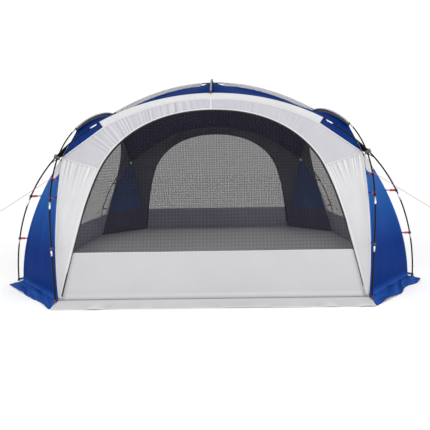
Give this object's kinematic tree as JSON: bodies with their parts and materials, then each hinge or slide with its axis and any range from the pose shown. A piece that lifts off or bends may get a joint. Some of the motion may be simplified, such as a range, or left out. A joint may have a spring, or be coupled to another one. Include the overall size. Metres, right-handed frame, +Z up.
{
  "type": "party tent",
  "caption": "Square dome party tent on crossed arch poles, with zipped arched walls, coloured corner panels, a pole-held roof and guy lines.",
  "frame": {"origin": "middle of the floor, at ground level", "axes": "+X right and +Y back, seen from the front; +Z up"},
  "size_m": [4.8916, 5.2292, 2.0375],
  "materials": {
    "white_cloth": "coated woven polyester, faint sheen",
    "blue_cloth": "coated woven polyester, faint sheen",
    "roof_cloth": "coated woven polyester, dull",
    "door_net": "fine mesh above an opaque lower panel",
    "pole": "black glass-fibre rod, satin",
    "knob": "moulded, satin",
    "clip": "red moulded clips on webbing and a white patch",
    "guy": "braided cord",
    "peg": "plain wire rod"
  },
  "bodies": {
    "root": {"apex_knob": "knob", "arch_pole_front": "pole", "arch_pole_back": "pole", "arch_pole_left": "pole", "arch_pole_right": "pole", "roof_pole_left_right": "pole", "roof_pole_front_back": "pole", "hub_front_left": "knob", "hub_front_right": "knob", "hub_back_left": "knob", "hub_back_right": "knob", "arch_sleeve_front": "white_cloth", "arch_sleeve_back": "white_cloth", "arch_sleeve_left": "white_cloth", "arch_sleeve_right": "white_cloth", "ridge_sleeve_front": "white_cloth", "ridge_sleeve_back": "white_cloth", "ridge_sleeve_left": "white_cloth", "ridge_sleeve_right": "white_cloth", "roof_gore_front_left": "roof_cloth", "roof_gore_front_right": "roof_cloth", "roof_gore_back_left": "roof_cloth", "roof_gore_back_right": "roof_cloth", "brow_front": "white_cloth", "brow_back": "white_cloth", "brow_left": "white_cloth", "brow_right": "white_cloth", "wall_front": "white_cloth", "wall_back": "white_cloth", "wall_left": "white_cloth", "wall_right": "white_cloth", "door_front": "door_net", "door_back": "door_net", "door_left": "door_net", "door_right": "door_net", "corner_front_left": "blue_cloth", "corner_front_right": "blue_cloth", "corner_back_left": "blue_cloth", "corner_back_right": "blue_cloth", "clip_tape_front_left": "clip", "clip_tape_front_right": "clip", "clip_tape_back_left": "clip", "clip_tape_back_right": "clip", "guy_line_front_left": "guy", "guy_line_front_right": "guy", "guy_line_back_left": "guy", "guy_line_back_right": "guy", "peg_front_left": "peg", "peg_front_right": "peg", "peg_back_left": "peg", "peg_back_right": "peg"}
  },
  "joints": []
}
